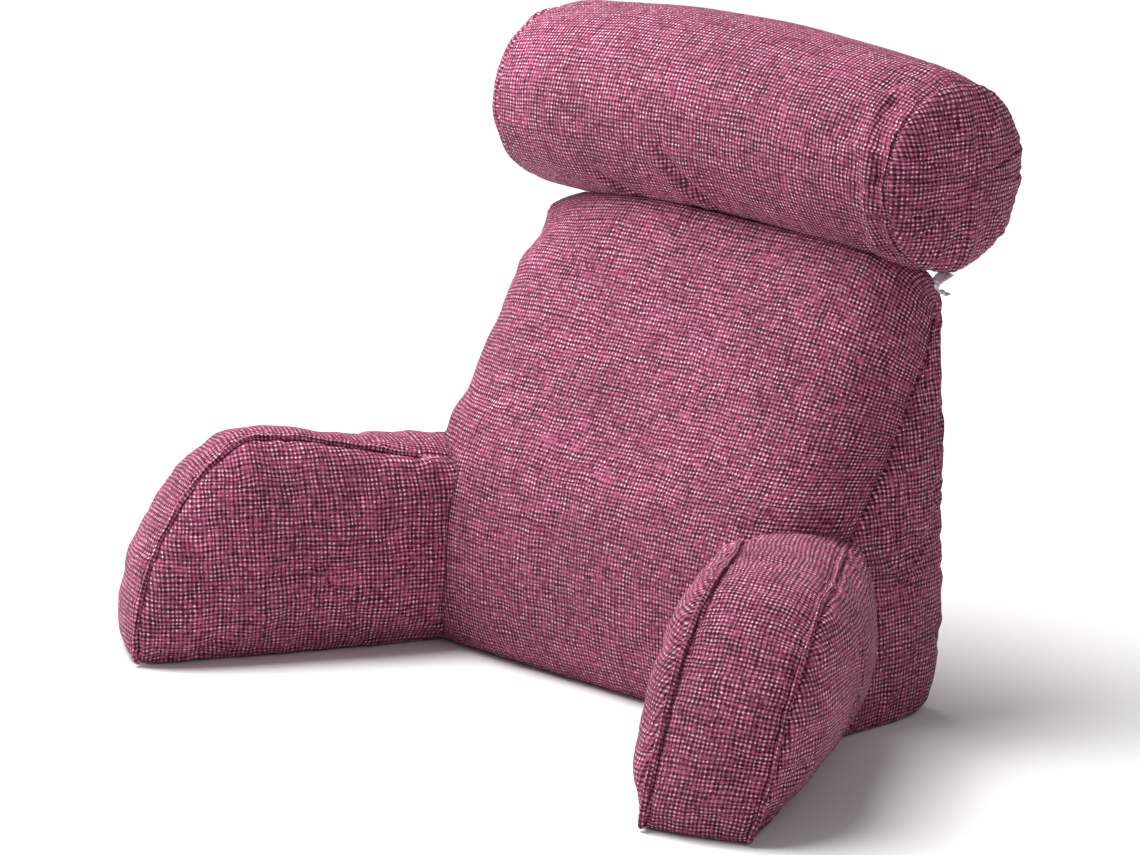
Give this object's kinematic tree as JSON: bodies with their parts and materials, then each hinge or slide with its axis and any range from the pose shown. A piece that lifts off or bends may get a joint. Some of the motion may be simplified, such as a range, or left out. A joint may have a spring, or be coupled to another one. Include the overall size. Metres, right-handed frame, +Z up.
{
  "type": "backrest pillow",
  "caption": "Upright reading pillow: a sloping padded back with padded arms, welted arm seams and a round neck roll across the top.",
  "frame": {"origin": "middle of the whole pillow's footprint, on the surface it stands on", "axes": "+X from the sitter's right to the sitter's left as seen from the front towards the picture's right, +Y to the rear, -Y the way the arms point, +Z up"},
  "size_m": [0.837, 0.535, 0.559],
  "materials": {
    "rose_basket_weave": "coarse matt basket weave in rose pink with darker and paler threads",
    "silver_satin_tape": "thin silvery satin tape with a soft sheen"
  },
  "bodies": {
    "root": {"back_cushion": "rose_basket_weave", "arm_left": "rose_basket_weave", "arm_right": "rose_basket_weave", "neck_roll": "rose_basket_weave", "inner_welt_left": "rose_basket_weave", "outer_welt_left": "rose_basket_weave", "inner_welt_right": "rose_basket_weave", "outer_welt_right": "rose_basket_weave", "corner_tape": "silver_satin_tape"}
  },
  "joints": []
}
